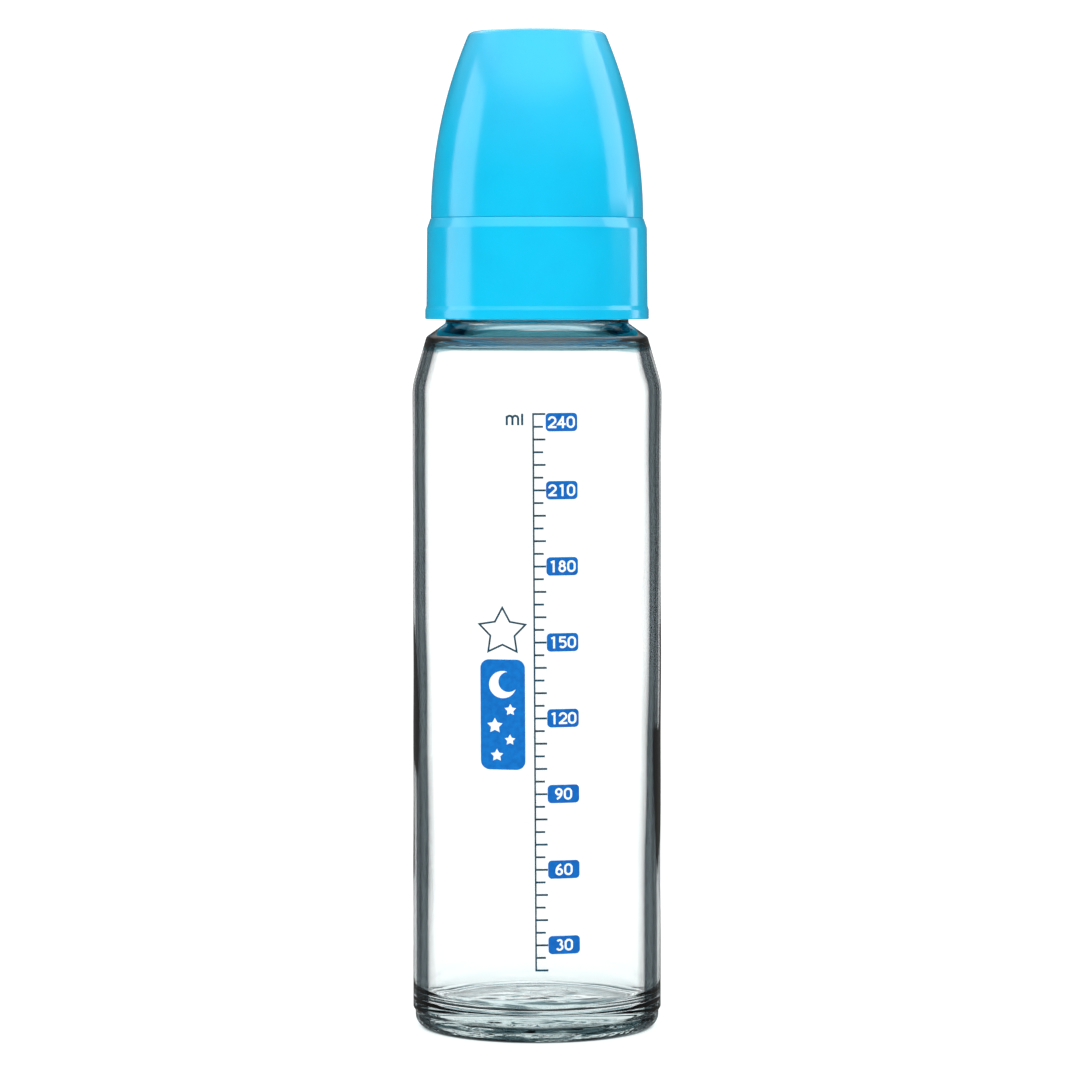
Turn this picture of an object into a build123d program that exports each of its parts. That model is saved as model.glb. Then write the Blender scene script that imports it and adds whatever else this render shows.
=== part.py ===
from build123d import *
import os
from math import asin, cos, degrees, radians, sin, tan

# A 240 ml glass baby bottle with its screw ring, teat and protective cap, in millimetres.
# The origin is the middle of the base on the surface that the bottle stands on; +Z is the
# bottle's axis, and the printed scale faces -Y.

# ---- driving dimensions: glass ----
BODY_R = 27.1            # outside of the straight wall
BODY_BORE_R = 24.3       # inside of the straight wall
BEARING_R = 23.6         # middle of the flat ring that the bottle stands on
BEARING_FLAT = 0.8       # width of that ring
BEARING_ROUND = 2.0      # round on the bearing ring's inner side
BEARING_DEG = 60.0       # turn of that round
HEEL_R = 2.6             # round between the bearing ring and the wall
LEDGE_Z = 4.3            # mould parting ledge above the heel
LEDGE_DROP = 0.8         # height of the ledge's lower slope
PUNT_H = 2.6             # rise of the domed underside
FLOOR_Z = 5.2            # inside floor beside the wall
FLOOR_CROWN_Z = 6.4      # inside floor at the middle
FLOOR_FILLET = 4.0
SHOULDER_Z = 138.0       # top of the straight wall
SHOULDER_ARC_R = 14.0    # outside round from the wall into the flank
BORE_ARC_R = 11.2        # inside round from the wall into the flank
FLANK_DEG = 16.0         # flank's lean from upright
NECK_R = 19.9            # neck bead, the part of the neck that shows under the ring
NECK_FOOT_Z = 153.55     # where the shoulder meets the bead
BEAD_TOP_Z = 155.3
BEAD_ROUND = 0.6
BEAD_SLOPE_H = 0.9       # slope from the bead up to the finish
FINISH_R = 17.7          # thread root of the neck finish
NECK_BORE_R = 15.2
RIM_Z = 172.6
RIM_ROUND = 0.9
SHOULDER_SLOPE_DEG = 35.5  # slope of the shoulder's top from level
SHOULDER_CORNER_R = 1.3
INNER_CORNER_R = 3.2
BORE_MOUTH_R = 3.5       # round from the inner shoulder into the neck bore
INNER_SLOPE_TOP_Z = 154.0  # where the inner shoulder's slope meets the neck bore
INNER_SLOPE_DEG = 40.0

# ---- driving dimensions: thread ----
PITCH = 4.0
THREAD_TURNS = 1.25
MALE_START_Z = 161.0     # middle of the glass thread where it starts
MALE_CREST_R = 19.0
MALE_ROOT_HALF = 1.0     # half heights of the thread's section
MALE_CREST_HALF = 0.5
FEMALE_CREST_R = 18.0
FEMALE_ROOT_HALF = 0.75
FEMALE_CREST_HALF = 0.4
THREAD_SINK = 0.3        # how deep a thread's section is sunk in its wall

# ---- driving dimensions: screw ring ----
RING_Z0 = 154.4          # foot of the ring
RING_TOP_Z = 176.2       # top of the ring's plate, and foot of the cap
RING_FOOT_R = 24.3
RING_FOOT_H = 2.0
RING_FOOT_BEVEL = 0.9
RING_EDGE_ROUND = 0.3
BEVEL_ROUND = 0.7
RING_LOW_R = 24.03       # band just above the foot
RING_HIGH_R = 23.87      # band under the bevel
BEVEL_Z = 174.1
BEVEL_TOP_R = 23.15
RING_BORE_R = 22.4       # inside of the outer wall
RING_PLATE = 1.6
SKIRT_R = 20.9           # outside of the inner, threaded skirt
SKIRT_BORE_R = 19.35     # thread root of the skirt
SKIRT_Z0 = 156.5
HOLE_R = 14.6            # hole that the teat comes through
COLLAR_R = 21.3          # snap collar inside the cap
COLLAR_BORE_R = 19.9
COLLAR_H = 3.4
COLLAR_BEAD = 0.12       # how far the snap bead stands out
COLLAR_BEAD_FOOT = 1.7   # heights of the bead's foot and crest above the plate
COLLAR_BEAD_CREST = 2.38

# ---- driving dimensions: teat ----
FLANGE_R = 18.7
FLANGE_BORE_R = 12.4
TEAT_WAIST_R = 14.2      # groove that the ring's plate sits in
TEAT_BEAD_R = 15.3       # bead above the plate
TEAT_BEAD_H = 1.1
TEAT_BEAD_ROUND = 0.4
TEAT_GAP = 0.3           # between the plate and the bead
TEAT_WALL = 1.5
TIP_WALL = 2.0
BELL_R = 13.9
BELL_Z = 178.4
BELL_STEP = 3.3          # how far the bell draws in on its way to the nipple
BELL_STEP_H = 5.6        # height over which it does so
BELL_INNER_H = 5.0       # the same inside
BELL_FOOT_DROP = 1.0     # how far the straight bore stops below the bell
BELL_INNER_WALL = 1.275  # thinner wall where the bell draws in
BELL_LEAN = 0.05         # the outline's lean at the bell's foot, and where the nipple starts
NIPPLE_LEAN = 0.18
NIPPLE_R = 6.2
NIPPLE_Z = 189.5
NIPPLE_FLARE = 0.4
NIPPLE_WAIST = 0.35
NIPPLE_WAIST_H = 5.0     # height of the waist above the nipple's start
NIPPLE_INNER_DROP = 0.45  # how far the inner outline's points lie below the outer ones
TIP_INNER_DROP = 0.75
TIP_MID_R = 0.76         # a point on the tip's round, as shares of the nipple's radius
TIP_MID_DROP = 0.3
TEAT_TOP_Z = 209.0
FLOW_HOLE_R = 0.4

# ---- driving dimensions: protective cap ----
CAP_FOOT_R = 23.05
CAP_ARC_R = 101.0        # long round of the dome's side, upright at the foot
CAP_TOP_Z = 216.5
CAP_CORNER_R = 1.5
CAP_WALL = 1.5
CAP_FOOT_ROUND = 0.25

# ---- driving dimensions: print ----
PRINT_LIFT = 0.01        # print's underside above the glass
PRINT_T = 0.06
PRINT_TILT = 0.32        # degrees, the screen sits a touch out of square
ML_PER_TICK = 5
TICK_STEP = 2.693        # height of 5 ml in the straight bore
SCALE_TOP_Z = 134.45     # tick of 240 ml
SCALE_TOP_ML = 240
SCALE_LOW_ML = 20
LINE_X = -0.07           # upright of the scale, at the height of the base
LINE_W = 0.36
TICK_W = 0.42
TICK_SHORT = 2.1
TICK_LONG = 2.6
BADGE_ML = 30            # volume between badges
BADGE_W = 6.7
BADGE_H = 3.9
BADGE_R = 0.85
BADGE_X = 2.65           # badge's near edge from the upright
DIGIT_A = 0.68           # half width of a digit's centre line
DIGIT_B = 1.05           # half height of a digit's centre line
DIGIT_W = 0.43           # stroke
DIGIT_STEP = 1.96
BOWL_R = 0.59            # round bowl of the digits 3, 6, 8 and 9
FIVE_R = 0.66            # bowl of the 5
FIVE_TOP = 0.5           # upper and lower ends of the 5's upright, left of its middle
FIVE_FOOT = 0.55
TWO_LIP = 175            # degrees where the 2 starts
TWO_TAIL = 25            # degrees below level where its bow runs out
THREE_LIP = 155          # degrees where the upper bowl of the 3 starts
THREE_TURN = 245         # degrees that each bowl of the 3 turns through
FOUR_BAR = 0.62          # height of the 4's bar
FOUR_STEM = 0.3          # stem of the 4, right of its middle
ONE_STEM = 0.15
ONE_FLAG = 0.6
TAIL_X = 0.36            # a point on the tail of the 6 and the 9, and the tail's end
TAIL_Z = 0.45
TAIL_END_X = 0.42
UNIT_X = -5.64           # first stem of the m
UNIT_Z = 132.1
UNIT_H = 2.0
UNIT_ARCH_R = 0.6
UNIT_L_X = -2.38         # stem of the l
UNIT_L_H = 2.45
UNIT_W = 0.46
PANEL_X = -6.85
PANEL_Z = 70.6
PANEL_W = 9.5
PANEL_H = 23.5
PANEL_R = 1.9
MOON_R = 2.9
MOON_Z = 77.0
STAR_WAIST = 0.52        # inner corners of a star, as a share of its radius
PANEL_STARS = ((1.6, 71.6, 1.3), (-1.7, 68.2, 1.7), (1.5, 65.2, 1.2), (-1.3, 61.9, 1.4))
STAR_Z = 88.2
STAR_R = 5.6
STAR_LINE = 0.85         # how much smaller the star's inner outline is


# ---- shared helpers ----
def corner(sketch, x, y):
    """The corner of a section that lies nearest to a point."""
    return sketch.vertices().sort_by_distance((x, y, 0))[0]


def thread_section(root_r, crest_r, root_half, crest_half, mid_z):
    """Section of a thread in the XZ plane, its flanks carried a little into its wall."""
    sink = THREAD_SINK / abs(crest_r - root_r)
    sunk_r = root_r - sink * (crest_r - root_r)
    sunk_half = root_half + sink * (root_half - crest_half)
    return (
        (sunk_r, mid_z - sunk_half),
        (crest_r, mid_z - crest_half),
        (crest_r, mid_z + crest_half),
        (sunk_r, mid_z + sunk_half),
    )


def crown_arc(edge_x, edge_z, crown_z):
    """Half of a round crown: an arc centred on the axis, from its edge to its top."""
    rise = crown_z - edge_z
    arc_r = (edge_x ** 2 + rise ** 2) / (2 * rise)
    half_turn = degrees(asin(edge_x / arc_r))
    CenterArc((0, crown_z - arc_r), arc_r, 90 - half_turn, half_turn)


def slope_corner(low_x, low_z, lean, top_x, top_z, fall):
    """Where a wall leaning in from (low_x, low_z) meets a slope that falls from (top_x, top_z)."""
    run = 1 / tan(fall)
    z = (low_x + low_z * tan(lean) - top_x - top_z * run) / (tan(lean) - run)
    return low_x - (z - low_z) * tan(lean), z


# ---- glass bottle ----
flank = radians(FLANK_DEG)
shoulder_slope = radians(SHOULDER_SLOPE_DEG)
inner_slope = radians(INNER_SLOPE_DEG)
flank_x = BODY_R - SHOULDER_ARC_R * (1 - cos(flank))
flank_z = SHOULDER_Z + SHOULDER_ARC_R * sin(flank)
corner_x, corner_z = slope_corner(flank_x, flank_z, flank, NECK_R, NECK_FOOT_Z, shoulder_slope)
bore_x = BODY_BORE_R - BORE_ARC_R * (1 - cos(flank))
bore_z = SHOULDER_Z + BORE_ARC_R * sin(flank)
inner_x, inner_z = slope_corner(bore_x, bore_z, flank, NECK_BORE_R, INNER_SLOPE_TOP_Z, inner_slope)
heel_mid_x = BEARING_R + BEARING_FLAT / 2
bearing_mid_x = BEARING_R - BEARING_FLAT / 2
heel_x = heel_mid_x + HEEL_R
punt_x = bearing_mid_x - BEARING_ROUND * sin(radians(BEARING_DEG))
punt_z = BEARING_ROUND * (1 - cos(radians(BEARING_DEG)))
male_section = thread_section(FINISH_R, MALE_CREST_R, MALE_ROOT_HALF, MALE_CREST_HALF, MALE_START_Z)

with BuildPart() as glass_bottle:
    # the section runs up the outside from the middle of the punt and down the inside
    with BuildSketch(Plane.XZ) as glass_section:
        with BuildLine():
            crown_arc(punt_x, punt_z, PUNT_H)
            CenterArc((bearing_mid_x, BEARING_ROUND), BEARING_ROUND, -90 - BEARING_DEG, BEARING_DEG)
            Line((bearing_mid_x, 0), (heel_mid_x, 0))
            CenterArc((heel_mid_x, HEEL_R), HEEL_R, -90, 90)
            Polyline(
                (heel_x, HEEL_R),
                (heel_x, LEDGE_Z - LEDGE_DROP),
                (BODY_R, LEDGE_Z),
                (BODY_R, SHOULDER_Z),
            )
            CenterArc((BODY_R - SHOULDER_ARC_R, SHOULDER_Z), SHOULDER_ARC_R, 0, FLANK_DEG)
            Polyline(
                (flank_x, flank_z),
                (corner_x, corner_z),
                (NECK_R, NECK_FOOT_Z),
                (NECK_R, BEAD_TOP_Z),
                (FINISH_R, BEAD_TOP_Z + BEAD_SLOPE_H),
                (FINISH_R, RIM_Z),
                (NECK_BORE_R, RIM_Z),
                (NECK_BORE_R, INNER_SLOPE_TOP_Z),
                (inner_x, inner_z),
                (bore_x, bore_z),
            )
            CenterArc((BODY_BORE_R - BORE_ARC_R, SHOULDER_Z), BORE_ARC_R, 0, FLANK_DEG)
            Line((BODY_BORE_R, SHOULDER_Z), (BODY_BORE_R, FLOOR_Z))
            crown_arc(BODY_BORE_R, FLOOR_Z, FLOOR_CROWN_Z)
            Line((0, FLOOR_CROWN_Z), (0, PUNT_H))
        make_face()
        fillet(corner(glass_section, corner_x, corner_z), SHOULDER_CORNER_R)
        fillet(corner(glass_section, NECK_R, BEAD_TOP_Z), BEAD_ROUND)
        fillet(corner(glass_section, FINISH_R, RIM_Z), RIM_ROUND)
        fillet(corner(glass_section, NECK_BORE_R, RIM_Z), RIM_ROUND)
        fillet(corner(glass_section, NECK_BORE_R, INNER_SLOPE_TOP_Z), BORE_MOUTH_R)
        fillet(corner(glass_section, inner_x, inner_z), INNER_CORNER_R)
        fillet(corner(glass_section, BODY_BORE_R, FLOOR_Z), FLOOR_FILLET)
    revolve(axis=Axis.Z)
    with BuildLine():
        male_helix = Helix(PITCH, PITCH * THREAD_TURNS, FINISH_R, center=(0, 0, MALE_START_Z))
    with BuildSketch(Plane.XZ):
        with BuildLine():
            Polyline(*male_section, close=True)
        make_face()
    sweep(path=male_helix, is_frenet=True)

# ---- screw ring ----
plate_z = RING_TOP_Z - RING_PLATE
female_z = MALE_START_Z - PITCH / 2
female_section = thread_section(
    SKIRT_BORE_R, FEMALE_CREST_R, FEMALE_ROOT_HALF, FEMALE_CREST_HALF, female_z
)

with BuildPart() as screw_ring:
    with BuildSketch(Plane.XZ) as ring_section:
        with BuildLine():
            Polyline(
                (RING_BORE_R, RING_Z0),
                (RING_FOOT_R, RING_Z0),
                (RING_FOOT_R, RING_Z0 + RING_FOOT_H),
                (RING_LOW_R, RING_Z0 + RING_FOOT_H + RING_FOOT_BEVEL),
                (RING_HIGH_R, BEVEL_Z),
                (BEVEL_TOP_R, RING_TOP_Z),
                (COLLAR_R, RING_TOP_Z),
                (COLLAR_R, RING_TOP_Z + COLLAR_BEAD_FOOT),
                (COLLAR_R + COLLAR_BEAD, RING_TOP_Z + COLLAR_BEAD_CREST),
                (COLLAR_R - COLLAR_BEAD, RING_TOP_Z + COLLAR_H),
                (COLLAR_BORE_R, RING_TOP_Z + COLLAR_H),
                (COLLAR_BORE_R, RING_TOP_Z),
                (HOLE_R, RING_TOP_Z),
                (HOLE_R, plate_z),
                (SKIRT_BORE_R, plate_z),
                (SKIRT_BORE_R, SKIRT_Z0),
                (SKIRT_R, SKIRT_Z0),
                (SKIRT_R, plate_z),
                (RING_BORE_R, plate_z),
                close=True,
            )
        make_face()
        fillet(corner(ring_section, RING_FOOT_R, RING_Z0), RING_EDGE_ROUND)
        fillet(corner(ring_section, RING_FOOT_R, RING_Z0 + RING_FOOT_H), RING_EDGE_ROUND)
        fillet(corner(ring_section, RING_HIGH_R, BEVEL_Z), BEVEL_ROUND)
        fillet(corner(ring_section, HOLE_R, RING_TOP_Z), RING_EDGE_ROUND)
        fillet(corner(ring_section, HOLE_R, plate_z), RING_EDGE_ROUND)
    revolve(axis=Axis.Z)
    with BuildLine():
        female_helix = Helix(PITCH, PITCH * THREAD_TURNS, SKIRT_BORE_R, center=(0, 0, female_z))
    with BuildSketch(Plane.XZ):
        with BuildLine():
            Polyline(*female_section, close=True)
        make_face()
    sweep(path=female_helix, is_frenet=True)

# ---- teat ----
flange_top_z = plate_z
groove_top_z = RING_TOP_Z + TEAT_GAP
inner_nipple_r = NIPPLE_R - TEAT_WALL
neck_r = NIPPLE_R + NIPPLE_FLARE
waist_z = NIPPLE_Z + NIPPLE_WAIST_H
tip_z = TEAT_TOP_Z - NIPPLE_R
tip_mid_z = TEAT_TOP_Z - NIPPLE_R * TIP_MID_DROP

with BuildPart() as teat:
    with BuildSketch(Plane.XZ) as teat_section:
        with BuildLine():
            Polyline(
                (FLANGE_BORE_R, RIM_Z),
                (FLANGE_R, RIM_Z),
                (FLANGE_R, flange_top_z),
                (TEAT_WAIST_R, flange_top_z),
                (TEAT_WAIST_R, groove_top_z),
                (TEAT_BEAD_R, groove_top_z),
                (TEAT_BEAD_R, groove_top_z + TEAT_BEAD_H),
                (BELL_R, BELL_Z),
            )
            Spline(
                (BELL_R, BELL_Z),
                (BELL_R - BELL_STEP, BELL_Z + BELL_STEP_H),
                (neck_r, NIPPLE_Z),
                tangents=[(-BELL_LEAN, 1), (-NIPPLE_LEAN, 1)],
            )
            Spline(
                (neck_r, NIPPLE_Z),
                (NIPPLE_R - NIPPLE_WAIST, waist_z),
                (NIPPLE_R, tip_z),
                tangents=[(-NIPPLE_LEAN, 1), (0, 1)],
            )
            ThreePointArc(
                (NIPPLE_R, tip_z),
                (NIPPLE_R * TIP_MID_R, tip_mid_z),
                (FLOW_HOLE_R, TEAT_TOP_Z),
            )
            Line((FLOW_HOLE_R, TEAT_TOP_Z), (FLOW_HOLE_R, TEAT_TOP_Z - TIP_WALL))
            ThreePointArc(
                (FLOW_HOLE_R, TEAT_TOP_Z - TIP_WALL),
                (inner_nipple_r * TIP_MID_R, tip_mid_z - TEAT_WALL),
                (inner_nipple_r, tip_z - TIP_INNER_DROP),
            )
            Spline(
                (inner_nipple_r, tip_z - TIP_INNER_DROP),
                (inner_nipple_r - NIPPLE_WAIST, waist_z),
                (neck_r - TEAT_WALL, NIPPLE_Z - NIPPLE_INNER_DROP),
                tangents=[(0, -1), (NIPPLE_LEAN, -1)],
            )
            Spline(
                (neck_r - TEAT_WALL, NIPPLE_Z - NIPPLE_INNER_DROP),
                (BELL_R - BELL_STEP - BELL_INNER_WALL, BELL_Z + BELL_INNER_H),
                (FLANGE_BORE_R, BELL_Z - BELL_FOOT_DROP),
                tangents=[(NIPPLE_LEAN, -1), (0, -1)],
            )
            Line((FLANGE_BORE_R, BELL_Z - BELL_FOOT_DROP), (FLANGE_BORE_R, RIM_Z))
        make_face()
        fillet(corner(teat_section, TEAT_BEAD_R, groove_top_z + TEAT_BEAD_H), TEAT_BEAD_ROUND)
    revolve(axis=Axis.Z)

# ---- protective cap ----
def dome_r(arc_r, z):
    """Radius of the dome's side at a height, outside or inside."""
    return CAP_FOOT_R - CAP_ARC_R + (arc_r ** 2 - (z - RING_TOP_Z) ** 2) ** 0.5


inner_arc_r = CAP_ARC_R - CAP_WALL
inner_top_z = CAP_TOP_Z - CAP_WALL
crown_r = dome_r(CAP_ARC_R, CAP_TOP_Z)
inner_crown_r = dome_r(inner_arc_r, inner_top_z)
side_mid_z = (RING_TOP_Z + CAP_TOP_Z) / 2

with BuildPart() as protective_cap:
    with BuildSketch(Plane.XZ) as cap_section:
        with BuildLine():
            ThreePointArc(
                (CAP_FOOT_R, RING_TOP_Z),
                (dome_r(CAP_ARC_R, side_mid_z), side_mid_z),
                (crown_r, CAP_TOP_Z),
            )
            Polyline(
                (crown_r, CAP_TOP_Z),
                (0, CAP_TOP_Z),
                (0, inner_top_z),
                (inner_crown_r, inner_top_z),
            )
            ThreePointArc(
                (inner_crown_r, inner_top_z),
                (dome_r(inner_arc_r, side_mid_z), side_mid_z),
                (CAP_FOOT_R - CAP_WALL, RING_TOP_Z),
            )
            Line((CAP_FOOT_R - CAP_WALL, RING_TOP_Z), (CAP_FOOT_R, RING_TOP_Z))
        make_face()
        fillet(corner(cap_section, crown_r, CAP_TOP_Z), CAP_CORNER_R)
        fillet(corner(cap_section, inner_crown_r, inner_top_z), CAP_CORNER_R / 2)
        fillet(corner(cap_section, CAP_FOOT_R, RING_TOP_Z), CAP_FOOT_ROUND)
    revolve(axis=Axis.Z)


# ---- printed enamel ----
def digit_strokes(digit, x, z):
    """Centre lines of one digit about its middle (x, z), one curve for each stroke."""
    a = DIGIT_A
    half = DIGIT_W / 2
    top = z + DIGIT_B
    low = z - DIGIT_B
    upper_r = DIGIT_B - BOWL_R
    first = BuildLine(mode=Mode.PRIVATE)
    second = BuildLine(mode=Mode.PRIVATE)
    if digit == "0":
        with first:
            Line((x - a, low + a), (x - a, top - a))
            CenterArc((x, top - a), a, 180, -180)
            Line((x + a, top - a), (x + a, low + a))
        with second:
            CenterArc((x, low + a), a, 180, 180)
    if digit == "1":
        with first:
            Line((x + ONE_STEM, top + half), (x + ONE_STEM, low - half))
        with second:
            Line((x + ONE_STEM - ONE_FLAG, top - half), (x + ONE_STEM, top))
    if digit == "2":
        tail = radians(TWO_TAIL)
        with first:
            CenterArc((x, top - a), a, TWO_LIP, -TWO_LIP - TWO_TAIL)
            Line((x + a * cos(tail), top - a - a * sin(tail)), (x - a, low))
        with second:
            Line((x - a - half, low), (x + a + half, low))
    if digit == "3":
        with first:
            CenterArc((x, top - upper_r), upper_r, THREE_LIP, -THREE_TURN)
        with second:
            CenterArc((x, low + BOWL_R), BOWL_R, 90, -THREE_TURN)
    if digit == "4":
        with first:
            Polyline((x + a + half, low + FOUR_BAR), (x - a, low + FOUR_BAR), (x + FOUR_STEM, top))
        with second:
            Line((x + FOUR_STEM, top + half), (x + FOUR_STEM, low - half))
    if digit == "5":
        with first:
            Polyline((x + a, top), (x - FIVE_TOP, top), (x - FIVE_FOOT, z))
        with second:
            CenterArc((x, low + FIVE_R), FIVE_R, 135, -280)
    if digit in "69":
        turn = 1 if digit == "6" else -1
        with first:
            CenterArc((x, z - turn * upper_r), BOWL_R, 0, 360)
        with second:
            ThreePointArc(
                (x - turn * BOWL_R, z - turn * upper_r),
                (x - turn * TAIL_X, z + turn * TAIL_Z),
                (x + turn * TAIL_END_X, z + turn * DIGIT_B),
            )
    if digit == "8":
        with first:
            CenterArc((x, top - upper_r), upper_r, 0, 360)
        with second:
            CenterArc((x, low + BOWL_R), BOWL_R, 0, 360)
    return first.line, second.line


def star(x, z, r):
    """Corners of a five-pointed star about (x, z)."""
    corners = []
    for step in range(10):
        reach = r if step % 2 == 0 else r * STAR_WAIST
        angle = radians(90 + 36 * step)
        corners.append((x + reach * cos(angle), z + reach * sin(angle)))
    return corners


# The layers are drawn flat in front of the bottle and kept only where they meet a thin
# curved shell on the glass.
tilt = radians(PRINT_TILT)
print_plane = Plane(origin=(0, 0, 0), x_dir=(cos(tilt), 0, sin(tilt)), z_dir=(0, -1, 0))
print_reach = BODY_R + 1
with BuildSketch(Plane.XY) as enamel:
    Circle(BODY_R + PRINT_LIFT + PRINT_T)
    Circle(BODY_R + PRINT_LIFT, mode=Mode.SUBTRACT)

with BuildPart() as scale_print:
    with BuildSketch(print_plane):
        ticks = list(range(SCALE_LOW_ML, SCALE_TOP_ML + 1, ML_PER_TICK))
        line_h = (len(ticks) - 1) * TICK_STEP
        with Locations((LINE_X, SCALE_TOP_Z - line_h / 2)):
            Rectangle(LINE_W, line_h + TICK_W)
        for ml in ticks:
            reach = TICK_SHORT
            if ml % 10 == 0:
                reach = TICK_LONG
            with Locations((LINE_X, SCALE_TOP_Z - (SCALE_TOP_ML - ml) / ML_PER_TICK * TICK_STEP)):
                Rectangle(reach, TICK_W, align=(Align.MIN, Align.CENTER))
        # the unit beside the top tick
        for arch in range(2):
            with BuildLine():
                arch_x = UNIT_X + (arch * 2 + 1) * UNIT_ARCH_R
                arch_z = UNIT_Z + UNIT_H - UNIT_ARCH_R
                CenterArc((arch_x, arch_z), UNIT_ARCH_R, 180, -180)
                Line((arch_x + UNIT_ARCH_R, arch_z), (arch_x + UNIT_ARCH_R, UNIT_Z))
            trace(line_width=UNIT_W)
        for stem_x, stem_h in ((UNIT_X, UNIT_H), (UNIT_L_X, UNIT_L_H)):
            with Locations((stem_x, UNIT_Z + stem_h / 2)):
                Rectangle(UNIT_W, stem_h)
        # an outlined star above the panel
        with BuildLine():
            Polyline(*star(PANEL_X, STAR_Z, STAR_R), close=True)
        make_face()
        with BuildLine():
            Polyline(*star(PANEL_X, STAR_Z, STAR_R - STAR_LINE), close=True)
        make_face(mode=Mode.SUBTRACT)
    extrude(amount=print_reach)
    extrude(enamel.sketch, amount=SHOULDER_Z, mode=Mode.INTERSECT)

with BuildPart() as badge_print:
    with BuildSketch(print_plane):
        for ml in range(BADGE_ML, SCALE_TOP_ML + 1, BADGE_ML):
            mid_x = LINE_X + BADGE_X + BADGE_W / 2
            mid_z = SCALE_TOP_Z - (SCALE_TOP_ML - ml) / ML_PER_TICK * TICK_STEP
            if ml == SCALE_TOP_ML:
                mid_z = SCALE_TOP_Z + TICK_W / 2 - BADGE_H / 2
            with Locations((mid_x, mid_z)):
                RectangleRounded(BADGE_W, BADGE_H, BADGE_R)
            digits = str(ml)
            for place, digit in enumerate(digits):
                digit_x = mid_x + (place - (len(digits) - 1) / 2) * DIGIT_STEP
                for stroke in digit_strokes(digit, digit_x, mid_z):
                    trace(stroke, line_width=DIGIT_W, mode=Mode.SUBTRACT)
    extrude(amount=print_reach)
    extrude(enamel.sketch, amount=SHOULDER_Z, mode=Mode.INTERSECT)

with BuildPart() as panel_print:
    with BuildSketch(print_plane):
        with Locations((PANEL_X, PANEL_Z)):
            RectangleRounded(PANEL_W, PANEL_H, PANEL_R)
        with BuildLine():
            ThreePointArc(
                (PANEL_X + MOON_R * 0.34, MOON_Z + MOON_R * 0.94),
                (PANEL_X - MOON_R, MOON_Z),
                (PANEL_X + MOON_R * 0.94, MOON_Z - MOON_R * 0.34),
            )
            ThreePointArc(
                (PANEL_X + MOON_R * 0.94, MOON_Z - MOON_R * 0.34),
                (PANEL_X - MOON_R * 0.28, MOON_Z - MOON_R * 0.02),
                (PANEL_X + MOON_R * 0.34, MOON_Z + MOON_R * 0.94),
            )
        make_face(mode=Mode.SUBTRACT)
        for off_x, mid_z, reach in PANEL_STARS:
            with BuildLine():
                Polyline(*star(PANEL_X + off_x, mid_z, reach), close=True)
            make_face(mode=Mode.SUBTRACT)
    extrude(amount=print_reach)
    extrude(enamel.sketch, amount=SHOULDER_Z, mode=Mode.INTERSECT)


# ---- one STEP file for each piece ----
glass_bottle.part.label = "glass_bottle"
screw_ring.part.label = "screw_ring"
teat.part.label = "teat"
protective_cap.part.label = "protective_cap"
scale_print.part.label = "scale_print"
badge_print.part.label = "badge_print"
panel_print.part.label = "panel_print"

os.makedirs("parts", exist_ok=True)
export_step(glass_bottle.part, "parts/glass_bottle.step")
export_step(screw_ring.part, "parts/screw_ring.step")
export_step(teat.part, "parts/teat.step")
export_step(protective_cap.part, "parts/protective_cap.step")
export_step(scale_print.part, "parts/scale_print.step")
export_step(badge_print.part, "parts/badge_print.step")
export_step(panel_print.part, "parts/panel_print.step")
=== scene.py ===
from math import acos, ceil, cos, degrees, hypot, pi, radians, sin, tan

import bpy
import numpy as np
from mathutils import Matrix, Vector


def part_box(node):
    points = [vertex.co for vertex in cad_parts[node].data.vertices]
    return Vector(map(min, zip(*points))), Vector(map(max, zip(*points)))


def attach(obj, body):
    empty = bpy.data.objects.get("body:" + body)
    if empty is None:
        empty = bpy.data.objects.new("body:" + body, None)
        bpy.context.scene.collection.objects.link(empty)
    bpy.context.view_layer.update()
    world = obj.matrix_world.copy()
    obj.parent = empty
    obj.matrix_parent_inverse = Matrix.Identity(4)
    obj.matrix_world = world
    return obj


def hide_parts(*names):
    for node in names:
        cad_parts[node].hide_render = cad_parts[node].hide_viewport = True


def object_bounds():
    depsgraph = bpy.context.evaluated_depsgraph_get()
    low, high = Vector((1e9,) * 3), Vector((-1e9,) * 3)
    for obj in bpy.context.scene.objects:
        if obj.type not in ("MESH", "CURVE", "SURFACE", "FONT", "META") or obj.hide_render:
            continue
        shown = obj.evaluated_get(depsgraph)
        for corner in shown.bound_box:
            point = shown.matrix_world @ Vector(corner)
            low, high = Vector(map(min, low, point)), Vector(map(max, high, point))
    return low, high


# A glass baby bottle with its ring, teat and cap. Outlines are in millimetres in the CAD's
# frame: z up along the bottle's axis, the printed scale facing -y.
MM = 0.001

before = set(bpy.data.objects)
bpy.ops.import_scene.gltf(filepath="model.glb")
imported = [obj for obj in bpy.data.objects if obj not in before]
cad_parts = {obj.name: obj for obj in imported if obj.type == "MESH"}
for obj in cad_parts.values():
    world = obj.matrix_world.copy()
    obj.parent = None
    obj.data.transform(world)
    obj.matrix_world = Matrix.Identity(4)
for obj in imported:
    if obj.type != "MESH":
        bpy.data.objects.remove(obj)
cad_low, cad_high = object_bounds()


def mm_box(node):
    """Outside radius, lowest and highest z of a round CAD node, in millimetres."""
    low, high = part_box(node)
    return high.x / MM, low.z / MM, high.z / MM


BODY_R, _, RIM_Z = mm_box("glass_bottle")
RING_FOOT_R, RING_Z0, COLLAR_TOP_Z = mm_box("screw_ring")
FLANGE_R, FLANGE_Z, TEAT_TOP_Z = mm_box("teat")
CAP_FOOT_R, CAP_FOOT_Z, CAP_TOP_Z = mm_box("protective_cap")

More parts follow.
